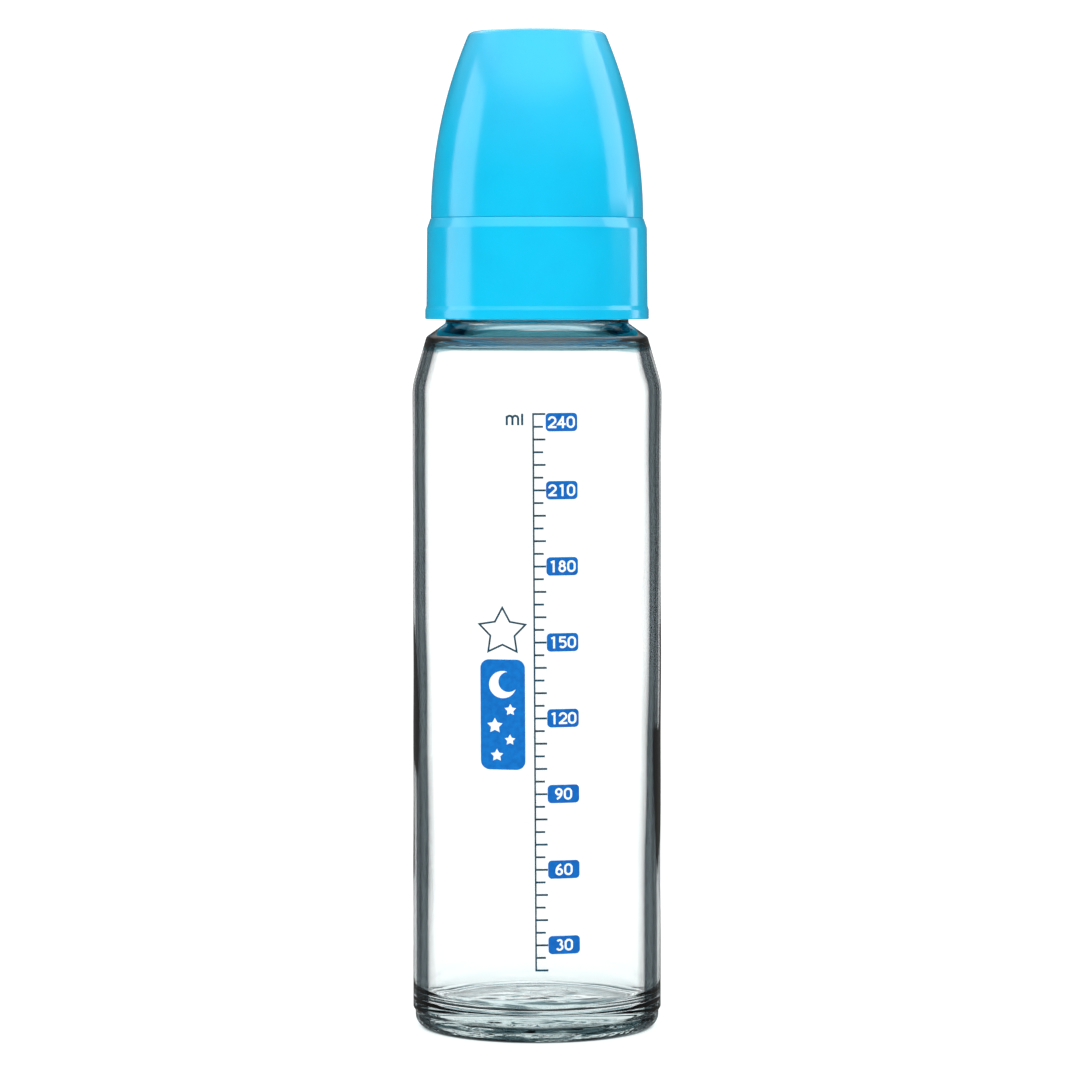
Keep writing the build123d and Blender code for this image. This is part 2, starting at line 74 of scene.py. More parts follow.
# ---- outlines ----
ARC_STEP = 7.5           # degrees between points on a round
SEGMENTS = 320           # around a turned piece
TINY = 1e-6
END_STEP = 0.25          # first step beside a corner, which keeps a round's shading off the run
END_GROWTH = 0.6         # how fast the steps grow away from it
LAST_GAP = 0.2           # a mark nearer than this to the run's end is left out


def arc(centre_r, centre_z, radius, start, turn, step=ARC_STEP):
    """Points along an arc in the outline's plane, angles in degrees from +r."""
    count = max(2, ceil(abs(turn) / step))
    angles = [radians(start + turn * k / count) for k in range(count + 1)]
    return [(centre_r + radius * cos(a), centre_z + radius * sin(a)) for a in angles]


def crown(edge_r, edge_z, crown_z, step=1.5):
    """A round crown centred on the axis, from its edge to its top."""
    rise = crown_z - edge_z
    radius = (edge_r ** 2 + rise ** 2) / (2 * rise)
    half = degrees(np.arcsin(edge_r / radius))
    count = ceil(edge_r / step)
    return arc(0, crown_z - radius, radius, 90 - half, half, half / count)


def rounded(corners, closed=False):
    """An outline with its corners rounded. A corner is (r, z) or (r, z, radius)."""
    points = []
    count = len(corners)
    for k, corner in enumerate(corners):
        here = Vector(corner[:2])
        if len(corner) < 3 or (not closed and k in (0, count - 1)):
            points.append(tuple(here))
            continue
        back = (Vector(corners[k - 1][:2]) - here).normalized()
        ahead = (Vector(corners[(k + 1) % count][:2]) - here).normalized()
        half = acos(max(-1.0, min(1.0, back.dot(ahead)))) / 2
        reach = corner[2] / tan(half)
        centre = here + (back + ahead).normalized() * corner[2] / sin(half)
        first = here + back * reach - centre
        last = here + ahead * reach - centre
        turn = pi - 2 * half
        if first.x * last.y - first.y * last.x < 0:
            turn = -turn
        steps = max(2, ceil(abs(degrees(turn)) / ARC_STEP))
        for j in range(steps + 1):
            a = turn * j / steps
            x = first.x * cos(a) - first.y * sin(a)
            y = first.x * sin(a) + first.y * cos(a)
            points.append((centre.x + x, centre.y + y))
    return points


def divided(points, step, fine=(), closed=False):
    """The outline with its straight runs divided. fine holds (low z, high z, step) zones."""
    ends = points[1:] + (points[:1] if closed else [])
    out = []
    for (r0, z0), (r1, z1) in zip(points, ends):
        out.append((r0, z0))
        length = hypot(r1 - r0, z1 - z0)
        if length < TINY:
            out.pop()
            continue
        marks = set()
        here = 0.0
        while here < length:
            z = z0 + (z1 - z0) * here / length
            pace = step
            for low, high, small in fine:
                if low <= z <= high:
                    pace = small
            near_end = min(here, length - here)
            pace = min(pace, max(END_STEP, near_end * END_GROWTH + END_STEP))
            here += pace
            if here < length - LAST_GAP:
                marks.add(here)
        for mark in sorted(marks):
            out.append((r0 + (r1 - r0) * mark / length, z0 + (z1 - z0) * mark / length))
    if not closed:
        out.append(points[-1])
    return out


def spline(points, count, start=None, end=None):
    """Points on a smooth curve through a few points, with the given end directions."""
    p = [Vector(q) for q in points]
    tangents = []
    for k in range(len(p)):
        before, after = p[max(k - 1, 0)], p[min(k + 1, len(p) - 1)]
        tangents.append((after - before) / (2 if 0 < k < len(p) - 1 else 1))
    if start:
        tangents[0] = Vector(start).normalized() * (p[1] - p[0]).length
    if end:
        tangents[-1] = Vector(end).normalized() * (p[-1] - p[-2]).length
    out = []
    for k in range(len(p) - 1):
        for j in range(count):
            t = j / count
            a = 2 * t ** 3 - 3 * t ** 2 + 1
            b = t ** 3 - 2 * t ** 2 + t
            c = -2 * t ** 3 + 3 * t ** 2
            d = t ** 3 - t ** 2
            q = a * p[k] + b * tangents[k] + c * p[k + 1] + d * tangents[k + 1]
            out.append(tuple(q))
    out.append(tuple(p[-1]))
    return out


def smooth(x):
    """0 to 1 with level ends."""
    x = np.clip(x, 0, 1)
    return x * x * (3 - 2 * x)


FACE_WEIGHT = 60         # how much a large face outweighs a small one in a shared normal


def turned(name, points, shape=None, closed=False, segments=SEGMENTS, bore_from=None):
    """A solid turned about the z axis from an outline. shape(angle, r, z) bends its surface.
    The attribute outside is 1 on the outline's points before bore_from and 0 from there on."""
    outline = np.array(points, float)
    on_axis = outline[:, 0] < TINY
    angles = np.arange(segments) * 2 * pi / segments
    r = np.repeat(outline[:, 0][:, None], segments, 1)
    z = np.repeat(outline[:, 1][:, None], segments, 1)
    a = np.repeat(angles[None, :], len(outline), 0)
    if shape:
        r, z = shape(a, r, z)
    verts = []
    rows = []
    outside = []
    for i in range(len(outline)):
        is_out = float(bore_from is None or i < bore_from)
        outside += [is_out] * (1 if on_axis[i] else segments)
        if on_axis[i]:
            rows.append([len(verts)] * segments)
            verts.append((0.0, 0.0, z[i, 0] * MM))
            continue
        first = len(verts)
        rows.append(list(range(first, first + segments)))
        xs = r[i] * np.cos(angles) * MM
        ys = r[i] * np.sin(angles) * MM
        verts.extend(zip(xs.tolist(), ys.tolist(), (z[i] * MM).tolist()))
    faces = []
    pairs = list(zip(rows, rows[1:]))
    if closed:
        pairs.append((rows[-1], rows[0]))
    for low, high in pairs:
        for j in range(segments):
            k = (j + 1) % segments
            loop = [low[j], low[k], high[k], high[j]]
            loop = [v for n, v in enumerate(loop) if v not in loop[:n]]
            if len(loop) > 2:
                faces.append(loop)
    mesh = bpy.data.meshes.new(name)
    mesh.from_pydata(verts, [], faces)
    mesh.attributes.new("outside", "FLOAT", "POINT").data.foreach_set("value", outside)
    mesh.shade_smooth()
    piece = bpy.data.objects.new(name, mesh)
    bpy.context.scene.collection.objects.link(piece)
    weighted = piece.modifiers.new("weighted", "WEIGHTED_NORMAL")
    weighted.weight = FACE_WEIGHT
    weighted.keep_sharp = True
    return piece


# ---- threads ----
PITCH = 4.0
THREAD_TURNS = 1.25
THREAD_Z = 161.0         # middle of the glass thread where it starts, on the +x side
MALE_ROOT_HALF = 1.0     # half heights of a thread's section
MALE_CREST_HALF = 0.5
FEMALE_ROOT_HALF = 0.75
FEMALE_CREST_HALF = 0.4
THREAD_FADE = 0.07       # turns over which a thread's end fades out
THREAD_STEP = 0.16       # outline steps across the threads
MALE_MARGIN = 1.5        # how far those steps go on past the threads
FEMALE_MARGIN = 1.2
ON_WALL = 0.05           # how near a point is to a wall's radius to lie on that wall


def thread_height(angle, z, start_z, root_half, crest_half):
    """How far a thread stands out at each point, 0 to 1."""
    height = np.zeros_like(z)
    for lap in range(ceil(THREAD_TURNS) + 1):
        turns = angle / (2 * pi) + lap
        off = np.abs(z - start_z - PITCH * turns)
        flank = np.clip((root_half - off) / (root_half - crest_half), 0, 1)
        fade = smooth(turns / THREAD_FADE) * smooth((THREAD_TURNS - turns) / THREAD_FADE)
        inside = (turns >= 0) & (turns <= THREAD_TURNS)
        height = np.maximum(height, np.where(inside, smooth(flank) * fade, 0))
    return height


# ---- glass bottle ----
WALL = 2.8
BORE_R = BODY_R - WALL
BEARING_R = 23.6
BEARING_FLAT = 0.8
BEARING_ROUND = 2.0
BEARING_DEG = 60.0
HEEL_R = 2.6
LEDGE_Z = 4.3
LEDGE_DROP = 0.8
PUNT_H = 2.6
FLOOR_Z = 5.2
FLOOR_CROWN_Z = 6.4
FLOOR_FILLET = 4.0
SHOULDER_Z = 138.0
SHOULDER_ARC_R = 14.0
BORE_ARC_R = 11.2
FLANK_DEG = 16.0
NECK_R = 19.9
NECK_FOOT_Z = 153.55
NECK_FOOT_ROUND = 0.5
BEAD_TOP_Z = 155.3
BEAD_ROUND = 0.6
BEAD_SLOPE_H = 0.9
FINISH_FOOT_ROUND = 0.4
RIM_ROUND = 0.9
LEDGE_FOOT_ROUND = 0.25
LEDGE_ROUND = 0.2
SHOULDER_CORNER_R = 1.3
INNER_CORNER_R = 3.2
BORE_MOUTH_R = 3.5
FINE_ARC_STEP = 1.6      # degrees between points on the shoulder's long rounds
HEEL_ARC_STEP = 3.0
GLASS_STEP = 2.0         # outline steps on the glass's straight runs
HEEL_FINE = (0.2, 3.4)   # heights between which the heel's outline is as fine as a thread's
FINISH_R = 17.7
THREAD_CREST_R = 19.0
NECK_BORE_R = 15.2
SHOULDER_SLOPE = radians(35.5)
INNER_SLOPE_TOP_Z = 154.0
INNER_SLOPE = radians(40.0)


def slope_corner(low_r, low_z, lean, top_r, top_z, fall):
    """Where a wall leaning in from the low point meets a slope that falls from the top one."""
    run = 1 / tan(fall)
    z = (low_r + low_z * tan(lean) - top_r - top_z * run) / (tan(lean) - run)
    return low_r - (z - low_z) * tan(lean), z


def glass_outline():
    flank = radians(FLANK_DEG)
    flank_r = BODY_R - SHOULDER_ARC_R * (1 - cos(flank))
    flank_z = SHOULDER_Z + SHOULDER_ARC_R * sin(flank)
    bore_r = BORE_R - BORE_ARC_R * (1 - cos(flank))
    bore_z = SHOULDER_Z + BORE_ARC_R * sin(flank)
    outer = slope_corner(flank_r, flank_z, flank, NECK_R, NECK_FOOT_Z, SHOULDER_SLOPE)
    inner = slope_corner(bore_r, bore_z, flank, NECK_BORE_R, INNER_SLOPE_TOP_Z, INNER_SLOPE)
    bearing_in = BEARING_R - BEARING_FLAT / 2
    heel = BEARING_R + BEARING_FLAT / 2
    punt_r = bearing_in - BEARING_ROUND * sin(radians(BEARING_DEG))
    punt_z = BEARING_ROUND * (1 - cos(radians(BEARING_DEG)))
    corners = crown(punt_r, punt_z, PUNT_H)[::-1]
    corners += arc(bearing_in, BEARING_ROUND, BEARING_ROUND, -90 - BEARING_DEG, BEARING_DEG)[1:]
    corners += arc(heel, HEEL_R, HEEL_R, -90, 90, HEEL_ARC_STEP)
    corners += [
        (heel + HEEL_R, LEDGE_Z - LEDGE_DROP, LEDGE_FOOT_ROUND),
        (BODY_R, LEDGE_Z, LEDGE_ROUND),
    ]
    wall_end = BODY_R - SHOULDER_ARC_R
    corners += arc(wall_end, SHOULDER_Z, SHOULDER_ARC_R, 0, FLANK_DEG, FINE_ARC_STEP)
    corners += [
        (*outer, SHOULDER_CORNER_R),
        (NECK_R, NECK_FOOT_Z, NECK_FOOT_ROUND),
        (NECK_R, BEAD_TOP_Z, BEAD_ROUND),
        (FINISH_R, BEAD_TOP_Z + BEAD_SLOPE_H, FINISH_FOOT_ROUND),
        (FINISH_R, RIM_Z, RIM_ROUND),
        (NECK_BORE_R, RIM_Z, RIM_ROUND),
        (NECK_BORE_R, INNER_SLOPE_TOP_Z, BORE_MOUTH_R),
        (*inner, INNER_CORNER_R),
    ]
    bore_end = BORE_R - BORE_ARC_R
    corners += arc(bore_end, SHOULDER_Z, BORE_ARC_R, FLANK_DEG, -FLANK_DEG, FINE_ARC_STEP)
    corners += [(BORE_R, FLOOR_Z, FLOOR_FILLET)]
    corners += crown(BORE_R, FLOOR_Z, FLOOR_CROWN_Z)[1:]
    thread_top = THREAD_Z + PITCH * THREAD_TURNS + MALE_MARGIN
    fine = (
        (THREAD_Z - MALE_MARGIN, thread_top, THREAD_STEP),
        (*HEEL_FINE, THREAD_STEP),
    )
    return divided(rounded(corners), GLASS_STEP, fine)


WAVE_LOW_Z = 12.0        # the walls are even below this height and above the shoulder
WAVE_FADE_LOW = 20.0     # heights over which their unevenness comes in, and dies out
WAVE_FADE_HIGH = 15.0
BORE_WAVE = 0.10         # unevenness of the blown inner wall
BORE_SLACK = 0.35        # how near the bore's radius a point is to be on that wall
BORE_WAVES = [           # size, waves around, radians a millimetre upwards, and phase
    (1.0, 3, 0.045, 0.4),
    (0.7, 7, -0.07, 1.3),
    (0.5, 13, 0.11, 0.0),
    (0.8, 2, 0.16, 0.0),
]
RIPPLE = 0.03            # unevenness of the outside, always inwards
OUTSIDE_SLACK = 0.3
RIPPLES = [
    (1.0, 5, 0.06, 0.0),
    (1.0, 3, 0.21, 0.6),
]
FLOOR_WAVE = 0.11        # unevenness of the floor inside, a swirl and a faint ring
FLOOR_WAVES = [          # the third number is by a millimetre outwards
    (1.0, 4, 0.55, 0.0),
    (0.5, 9, -0.6, 1.0),
    (0.7, 0, 0.7, 0.0),
]
FLOOR_CALM_R = 6.0       # the floor is even in its middle, and near the wall
FLOOR_CALM_EDGE = 5.0
PLATE_STEP_R = 15.2      # round step under the base, left by the mould's base plate
PLATE_STEP_H = 0.18
PLATE_STEP_W = 0.5
DOT_COUNT = 36           # raised dots around it
DOT_RING_R = 18.3
DOT_HALF_W = 0.9
DOT_H = 0.22
STIPPLE_COUNT = 80       # small dimples around the heel, per row
STIPPLE_ROWS = 2.5       # half waves of depth from the bearing ring up to the heel's top
STIPPLE_DEPTH = 0.3
STIPPLE_SWAY = [         # how far the dimples stray from an even row
    (1.7, 7, 2.0, 0.0),
    (1.1, 19, 0.0, 1.9),
]
STIPPLE_END = 1.9        # where the dimples end, of 2 at the heel's top
STIPPLE_FADES = (0.4, 0.3)


def wavy(waves, around, along):
    """The sum of a few sine waves around the bottle and along its surface."""
    return sum(size * np.sin(n * around + pace * along + phase) for size, n, pace, phase in waves)


def shape_glass(a, r, z):
    """Thread, the uneven wall and floor, the marks under the base and the stippled heel."""
    on_finish = np.abs(r - FINISH_R) < ON_WALL
    ridge = thread_height(a, z, THREAD_Z, MALE_ROOT_HALF, MALE_CREST_HALF) * on_finish
    out = r + ridge * (THREAD_CREST_R - FINISH_R)
    swell = smooth((z - WAVE_LOW_Z) / WAVE_FADE_LOW) * smooth((SHOULDER_Z - z) / WAVE_FADE_HIGH)
    on_bore = (np.abs(r - BORE_R) < BORE_SLACK) & (z > WAVE_LOW_Z) & (z < SHOULDER_Z)
    out = out + on_bore * swell * BORE_WAVE * wavy(BORE_WAVES, a, z)
    on_outside = (r > BODY_R - OUTSIDE_SLACK) & (z > WAVE_LOW_Z) & (z < SHOULDER_Z)
    out = out - on_outside * swell * RIPPLE * (wavy(RIPPLES, a, z) + len(RIPPLES))
    on_floor = (z > PUNT_H + 1.5) & (z < FLOOR_CROWN_Z + 0.4) & (r < BORE_R - 1)
    calm = smooth(r / FLOOR_CALM_R) * smooth((BORE_R - 1 - r) / FLOOR_CALM_EDGE)
    lift = on_floor * FLOOR_WAVE * wavy(FLOOR_WAVES, a, r) * calm
    under = (z < PUNT_H + 0.1) & (r < BEARING_R - 2)
    step = PLATE_STEP_H * smooth((PLATE_STEP_R - r) / PLATE_STEP_W)
    ring_of_dots = smooth(1 - np.abs(r - DOT_RING_R) / DOT_HALF_W)
    dots = DOT_H * np.clip(np.cos(DOT_COUNT * a), 0, 1) * ring_of_dots
    lift = lift + under * (step - dots)
    # place goes from 0 at the bearing ring to 2 at the top of the heel's round
    on_heel = (r > BEARING_R - 1.5) & (z < HEEL_R + 0.6)
    place = np.clip((r - BEARING_R) / HEEL_R + z / HEEL_R, 0, 2)
    rows = np.sin(place * pi * STIPPLE_ROWS)
    turn = STIPPLE_COUNT * a + np.sign(rows) * pi / 2 + wavy(STIPPLE_SWAY, a, place)
    patches = 0.5 + 0.5 * np.sin(11 * a + 0.7) * np.sin(17 * a + 3 * place)
    dimples = np.maximum(0, np.sin(turn)) * np.abs(rows) * patches
    first, last = STIPPLE_FADES
    fade = smooth(place / first) * smooth((STIPPLE_END - place) / last)
    out = out - on_heel * dimples * fade * STIPPLE_DEPTH
    return out, z + lift


# ---- screw ring ----
RING_FOOT_H = 2.0
RING_FOOT_BEVEL = 0.9
RING_LOW_R = 24.03
RING_HIGH_R = 23.87
BEVEL_Z = 174.1
BEVEL_TOP_R = 23.15
RING_BORE_R = 22.4
PLATE_TOP_Z = CAP_FOOT_Z
RING_PLATE = 1.6
PLATE_Z = PLATE_TOP_Z - RING_PLATE
SKIRT_R = 20.9
SKIRT_BORE_R = 19.35
SKIRT_Z0 = 156.5
SKIRT_CREST_R = 18.0
HOLE_R = 14.6
COLLAR_R = 21.3
COLLAR_BORE_R = 19.9
COLLAR_BEAD = 0.12
COLLAR_BEAD_FOOT = 0.5   # heights of the snap bead's foot and crest, as shares of the collar
COLLAR_BEAD_CREST = 0.7
COLLAR_BEAD_ROUND = 0.5
RING_EDGE_ROUND = 0.3
RING_FOOT_ROUND = 0.4
BEVEL_ROUND = 0.7
PLATE_EDGE_ROUND = 0.15
RING_STEP = 1.5          # outline steps on the ring's straight runs


def ring_outline():
    collar_h = COLLAR_TOP_Z - PLATE_TOP_Z
    bead_foot_z = PLATE_TOP_Z + collar_h * COLLAR_BEAD_FOOT
    bead_crest_z = PLATE_TOP_Z + collar_h * COLLAR_BEAD_CREST
    corners = [
        (RING_BORE_R, RING_Z0, RING_EDGE_ROUND),
        (RING_FOOT_R, RING_Z0, RING_EDGE_ROUND),
        (RING_FOOT_R, RING_Z0 + RING_FOOT_H, RING_EDGE_ROUND),
        (RING_LOW_R, RING_Z0 + RING_FOOT_H + RING_FOOT_BEVEL, RING_FOOT_ROUND),
        (RING_HIGH_R, BEVEL_Z, BEVEL_ROUND),
        (BEVEL_TOP_R, PLATE_TOP_Z, PLATE_EDGE_ROUND),
        (COLLAR_R, PLATE_TOP_Z, PLATE_EDGE_ROUND),
        (COLLAR_R, bead_foot_z, COLLAR_BEAD_ROUND),
        (COLLAR_R + COLLAR_BEAD, bead_crest_z, COLLAR_BEAD_ROUND),
        (COLLAR_R - COLLAR_BEAD, COLLAR_TOP_Z, RING_EDGE_ROUND),
        (COLLAR_BORE_R, COLLAR_TOP_Z, RING_EDGE_ROUND),
        (COLLAR_BORE_R, PLATE_TOP_Z, RING_FOOT_ROUND),
        (HOLE_R, PLATE_TOP_Z, RING_EDGE_ROUND),
        (HOLE_R, PLATE_Z, RING_EDGE_ROUND),
        (SKIRT_BORE_R, PLATE_Z, RING_EDGE_ROUND),
        (SKIRT_BORE_R, SKIRT_Z0, RING_EDGE_ROUND),
        (SKIRT_R, SKIRT_Z0, RING_EDGE_ROUND),
        (SKIRT_R, PLATE_Z, RING_FOOT_ROUND),
        (RING_BORE_R, PLATE_Z, RING_FOOT_ROUND),
    ]
    thread_top = THREAD_Z - PITCH / 2 + PITCH * THREAD_TURNS + FEMALE_MARGIN
    fine = ((THREAD_Z - PITCH / 2 - FEMALE_MARGIN, thread_top, THREAD_STEP),)
    return divided(rounded(corners, closed=True), RING_STEP, fine, closed=True)


def shape_ring(a, r, z):
    """The thread inside the skirt."""
    ridge = thread_height(a, z, THREAD_Z - PITCH / 2, FEMALE_ROOT_HALF, FEMALE_CREST_HALF)
    on_bore = np.abs(r - SKIRT_BORE_R) < ON_WALL
    return r - ridge * on_bore * (SKIRT_BORE_R - SKIRT_CREST_R), z


# ---- teat ----
TEAT_WAIST_R = 14.2
TEAT_BEAD_R = 15.3
TEAT_WALL = 1.5
BELL_R = 13.9
BELL_Z = 178.4
NIPPLE_R = 6.2
NIPPLE_Z = 189.5
FLANGE_BORE_R = 12.4
FLOW_HOLE_R = 0.4
TEAT_GAP = 0.3           # between the ring's plate and the bead over it
TEAT_BEAD_H = 1.1
TEAT_BEAD_ROUND = 0.4
TEAT_EDGE_ROUND = 0.2
FLANGE_ROUND = 0.3
GROOVE_ROUND = 0.1
BELL_STEP = 3.3          # how far the bell draws in on its way to the nipple
BELL_STEP_H = 5.6
BELL_INNER_H = 5.0
BELL_INNER_WALL = 1.275
BELL_FOOT_DROP = 1.0
BELL_LEAN = (-0.05, 1)   # the outline's directions at the bell's foot and where the nipple starts
NIPPLE_LEAN = (-0.18, 1)
NIPPLE_FLARE = 0.4
NIPPLE_WAIST = 0.35
NIPPLE_WAIST_H = 5
NIPPLE_INNER_DROP = 0.45
TIP_WALL = 2.0
TIP_INNER_DROP = 0.75
TIP_DIP = 0.02           # the flow hole's edge lies a touch below the tip
TIP_DEG = 86             # where the tip's round ends beside the flow hole
TIP_INNER_DEG = 80
TIP_ARC_STEP = 6
CURVE_STEPS = 10
INNER_CURVE_STEPS = 8
TEAT_STEP = 1.2          # outline steps on the teat's straight runs
TEAT_SEGMENTS = 192


def teat_outline():
    groove_z = PLATE_TOP_Z + TEAT_GAP
    bead_z = groove_z + TEAT_BEAD_H
    tip_z = TEAT_TOP_Z - NIPPLE_R
    inner_tip_z = tip_z - TIP_INNER_DROP
    inner_r = NIPPLE_R - TEAT_WALL
    flare_r = NIPPLE_R + NIPPLE_FLARE
    waist_z = NIPPLE_Z + NIPPLE_WAIST_H
    bell_mid_r = BELL_R - BELL_STEP
    outer = [
        (FLANGE_BORE_R, FLANGE_Z, TEAT_EDGE_ROUND),
        (FLANGE_R, FLANGE_Z, FLANGE_ROUND),
        (FLANGE_R, PLATE_Z, FLANGE_ROUND),
        (TEAT_WAIST_R, PLATE_Z, GROOVE_ROUND),
        (TEAT_WAIST_R, groove_z, GROOVE_ROUND),
        (TEAT_BEAD_R, groove_z, TEAT_EDGE_ROUND),
        (TEAT_BEAD_R, bead_z, TEAT_BEAD_ROUND),
    ]
    bell = [(BELL_R, BELL_Z), (bell_mid_r, BELL_Z + BELL_STEP_H), (flare_r, NIPPLE_Z)]
    outer += spline(bell, CURVE_STEPS, BELL_LEAN, NIPPLE_LEAN)
    stem = [(flare_r, NIPPLE_Z), (NIPPLE_R - NIPPLE_WAIST, waist_z), (NIPPLE_R, tip_z)]
    outer += spline(stem, CURVE_STEPS, NIPPLE_LEAN, (0, 1))[1:]
    outer += arc(0, tip_z, NIPPLE_R, 0, TIP_DEG, TIP_ARC_STEP)[1:]
    inner = [(FLOW_HOLE_R, TEAT_TOP_Z - TIP_DIP), (FLOW_HOLE_R, TEAT_TOP_Z - TIP_WALL)]
    inner += arc(0, inner_tip_z, inner_r, TIP_INNER_DEG, -TIP_INNER_DEG, TIP_ARC_STEP)
    hollow = [
        (inner_r, inner_tip_z),
        (inner_r - NIPPLE_WAIST, waist_z),
        (flare_r - TEAT_WALL, NIPPLE_Z - NIPPLE_INNER_DROP),
        (bell_mid_r - BELL_INNER_WALL, BELL_Z + BELL_INNER_H),
        (FLANGE_BORE_R, BELL_Z - BELL_FOOT_DROP),
    ]
    inner += spline(hollow, INNER_CURVE_STEPS, (0, -1), (0, -1))[1:]
    return divided(rounded(outer + inner, closed=True), TEAT_STEP, closed=True)


# ---- protective cap ----
CAP_ARC_R = 101.0
CAP_WALL = 1.5
CAP_CORNER_R = 1.5
CAP_INNER_CORNER_R = 0.65
CAP_FOOT_ROUND = 0.25
DOME_STEPS = 40
CAP_STEP = 1.0           # outline steps on the cap's straight runs


def dome(arc_r, low_z, high_z, count):
    """Points up the dome's long round, whose centre is level with its foot."""
    centre_r = CAP_FOOT_R - CAP_ARC_R
    start = np.arcsin((low_z - CAP_FOOT_Z) / arc_r)
    end = np.arcsin((high_z - CAP_FOOT_Z) / arc_r)
    angles = start + (end - start) * np.arange(count + 1) / count
    return [(centre_r + arc_r * cos(t), CAP_FOOT_Z + arc_r * sin(t)) for t in angles]


def cap_outline():
    outer = dome(CAP_ARC_R, CAP_FOOT_Z, CAP_TOP_Z, DOME_STEPS)
    inner_top = CAP_TOP_Z - CAP_WALL
    inner = dome(CAP_ARC_R - CAP_WALL, CAP_FOOT_Z, inner_top, DOME_STEPS)[::-1]
    corners = [(0, inner_top), (*inner[0], CAP_INNER_CORNER_R)] + inner[1:-1]
    corners += [(*inner[-1], CAP_FOOT_ROUND), (*outer[0], CAP_FOOT_ROUND)] + outer[1:-1]
    corners += [(*outer[-1], CAP_CORNER_R), (0, CAP_TOP_Z)]
    return divided(rounded(corners), CAP_STEP)


GATE_R = 1.6             # round mark where the mould was fed, on the cap's top
GATE_DEPTH = 0.18
GATE_EDGE = 0.5
TOP_SINK = 0.25          # how far the cap's flat top has sunk in cooling
TOP_SINK_R = 12.5


def shape_cap(a, r, z):
    """A slightly sunk top with the mark of the mould's gate."""
    on_top = z > CAP_TOP_Z - 0.01
    sink = TOP_SINK * smooth(1 - r / TOP_SINK_R)
    gate = GATE_DEPTH * smooth((GATE_R - r) / GATE_EDGE)
    return r, z - on_top * (sink + gate)


# ---- materials ----
def new_material(name):
    """An empty node material and its tree."""
    material = bpy.data.materials.new(name)
    material.use_nodes = True
    material.node_tree.nodes.clear()
    return material, material.node_tree


def node(tree, kind, **values):
    """A new node with its properties, or its inputs by name, set."""
    made = tree.nodes.new("ShaderNode" + kind)
    for key, value in values.items():
        if key in made.inputs:
            made.inputs[key].default_value = value
        else:
            setattr(made, key, value)
    return made


def noise(tree, scale, detail=3.0, stretch=(1, 1, 1)):
    """Noise in the piece's own coordinates, in metres, stretched along its axes."""
    place = node(tree, "TexCoord")
    mapping = node(tree, "Mapping")
    mapping.inputs["Scale"].default_value = stretch
    pattern = node(tree, "TexNoise", Scale=scale, Detail=detail)
    tree.links.new(place.outputs["Object"], mapping.inputs["Vector"])
    tree.links.new(mapping.outputs["Vector"], pattern.inputs["Vector"])
    return pattern.outputs["Fac"]


def ramp(tree, source, stops):
    """A colour ramp over source. stops holds (position, colour)."""
    made = node(tree, "ValToRGB")
    made.color_ramp.interpolation = "LINEAR"
    while len(made.color_ramp.elements) < len(stops):
        made.color_ramp.elements.new(0.5)
    for element, (position, colour) in zip(made.color_ramp.elements, stops):
        element.position = position
        element.color = (*colour, 1)
    tree.links.new(source, made.inputs["Fac"])
    return made.outputs["Color"]


def remap(tree, source, low, high):
    """source, from 0 to 1, spread over low to high."""
    made = node(tree, "MapRange")
    made.inputs["To Min"].default_value = low
    made.inputs["To Max"].default_value = high
    tree.links.new(source, made.inputs["Value"])
    return made.outputs["Result"]


def bump(tree, source, strength, distance):
    """A bump from a height pattern."""
    made = node(tree, "Bump", Strength=strength, Distance=distance)
    tree.links.new(source, made.inputs["Height"])
    return made.outputs["Normal"]


def mirrored_ray(tree):
    """1 for a ray that a glossy surface mirrored. One through glass counts as glossy too."""
    path = node(tree, "LightPath")
    made = node(tree, "Math", operation="SUBTRACT", use_clamp=True)
    tree.links.new(path.outputs["Is Glossy Ray"], made.inputs[0])
    tree.links.new(path.outputs["Is Transmission Ray"], made.inputs[1])
    return made.outputs[0]


COLOUR_A = 6             # sockets of a Mix node that mixes colours
COLOUR_B = 7
COLOUR_OUT = 2


def by_height(tree, low, high, spread, stretch=(1, 1, 1)):
    """0 to 1 between two heights in millimetres, ragged by noise."""
    spot = node(tree, "TexCoord")
    split = node(tree, "SeparateXYZ")
    tree.links.new(spot.outputs["Object"], split.inputs["Vector"])
    ragged = node(tree, "Math", operation="ADD")
    tree.links.new(split.outputs["Z"], ragged.inputs[0])
    wobble = noise(tree, scale=60, detail=2, stretch=stretch)
    tree.links.new(remap(tree, wobble, -spread * MM, spread * MM), ragged.inputs[1])
    made = node(tree, "MapRange")
    made.inputs["From Min"].default_value = low * MM
    made.inputs["From Max"].default_value = high * MM
    tree.links.new(ragged.outputs[0], made.inputs["Value"])
    return made.outputs["Result"]


def times(tree, factor, first, second):
    """first multiplied by second, by factor."""
    made = node(tree, "Mix", data_type="RGBA", blend_type="MULTIPLY")
    for source, socket in ((factor, "Factor"), (first, COLOUR_A), (second, COLOUR_B)):
        if isinstance(source, float):
            made.inputs[socket].default_value = source
        else:
            tree.links.new(source, made.inputs[socket])
    return made.outputs[COLOUR_OUT]


def output(tree, surface, volume=None):
    """Joins a shader to the material's output."""
    made = node(tree, "OutputMaterial")
    tree.links.new(surface, made.inputs["Surface"])
    if volume:
        tree.links.new(volume, made.inputs["Volume"])


